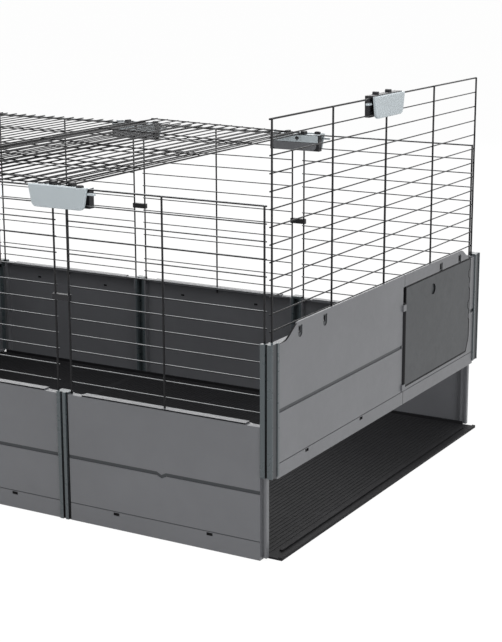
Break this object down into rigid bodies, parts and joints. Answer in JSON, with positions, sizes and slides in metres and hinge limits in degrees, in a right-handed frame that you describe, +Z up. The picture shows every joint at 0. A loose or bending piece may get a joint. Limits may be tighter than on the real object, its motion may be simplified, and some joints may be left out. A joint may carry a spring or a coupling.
{
  "type": "small animal cage",
  "caption": "Long modular small animal cage with plastic lower walls, wire grids, sliding end walls, doors and folding roof grids.",
  "frame": {"origin": "centre of the bounding box's underside, on the floor", "axes": "+X along the cage towards the raised end wall, +Y from front to back, +Z up"},
  "size_m": [1.074, 0.742, 0.6232],
  "materials": {
    "tray_plastic": "fine grained black injection moulded plastic",
    "panel_plastic": "satin grey injection moulded plastic",
    "door_plastic": "satin darker grey injection moulded plastic",
    "post_plastic": "satin green-grey extruded plastic",
    "cover_plastic": "satin light blue-grey plastic",
    "clip_plastic": "satin black plastic",
    "wire": "black powder coated steel wire"
  },
  "bodies": {
    "frame": {"back_clip_cover_1": "cover_plastic", "back_clip_cover_2": "cover_plastic", "back_grid_1": "wire", "back_grid_2": "wire", "back_grid_3": "wire", "back_mid_clip_1": "clip_plastic", "back_mid_clip_2": "clip_plastic", "back_panel_1": "panel_plastic", "back_panel_2": "panel_plastic", "back_panel_3": "panel_plastic", "back_post_1": "post_plastic", "back_post_2": "post_plastic", "back_roof_hooks_1": "clip_plastic", "back_roof_hooks_2": "clip_plastic", "base_tray_1": "tray_plastic", "base_tray_2": "tray_plastic", "base_tray_3": "tray_plastic", "front_clip_cover_1": "cover_plastic", "front_clip_cover_2": "cover_plastic", "front_grid_1": "wire", "front_grid_2": "wire", "front_grid_3": "wire", "front_mid_clip_1": "clip_plastic", "front_mid_clip_2": "clip_plastic", "front_panel_1": "panel_plastic", "front_panel_2": "panel_plastic", "front_panel_3": "panel_plastic", "front_post_1": "post_plastic", "front_post_2": "post_plastic", "front_roof_hooks_1": "clip_plastic", "front_roof_hooks_2": "clip_plastic", "roof_grid_middle": "wire"},
    "right_end_wall": {"right_end_back_corner": "post_plastic", "right_end_clip_cover": "cover_plastic", "right_end_clip_hooks": "clip_plastic", "right_end_front_corner": "post_plastic", "right_end_grid": "wire", "right_end_hinge_pin": "wire", "right_end_panel": "panel_plastic"},
    "right_door": {"right_end_door": "door_plastic"},
    "left_end_wall": {"left_end_back_corner": "post_plastic", "left_end_clip_cover": "cover_plastic", "left_end_clip_hooks": "clip_plastic", "left_end_front_corner": "post_plastic", "left_end_grid": "wire", "left_end_hinge_pin": "wire", "left_end_panel": "panel_plastic"},
    "left_door": {"left_end_door": "door_plastic"},
    "roof_right": {"roof_grid_right": "wire"},
    "roof_left": {"roof_grid_left": "wire"}
  },
  "joints": [
    {"name": "right_end_slide", "type": "slide", "parent": "frame", "child": "right_end_wall", "axis": [0, 0, 1], "range_m": [-0.115, 0.047]},
    {"name": "right_door_hinge", "type": "hinge", "parent": "right_end_wall", "child": "right_door", "pos_m": [0.5265, 0.061, 0.2], "axis": [0, 0, -1], "range_deg": [0, 100]},
    {"name": "left_end_slide", "type": "slide", "parent": "frame", "child": "left_end_wall", "axis": [0, 0, 1], "range_m": [0, 0.162]},
    {"name": "left_door_hinge", "type": "hinge", "parent": "left_end_wall", "child": "left_door", "pos_m": [-0.5265, 0.061, 0.1], "axis": [0, 0, 1], "range_deg": [0, 100]},
    {"name": "roof_right_hinge", "type": "hinge", "parent": "frame", "child": "roof_right", "pos_m": [0.187, 0, 0.5029], "axis": [0, 1, 0], "range_deg": [0, 178.5]},
    {"name": "roof_left_hinge", "type": "hinge", "parent": "frame", "child": "roof_left", "pos_m": [-0.187, 0, 0.5029], "axis": [0, 1, 0], "range_deg": [0, 165]}
  ]
}
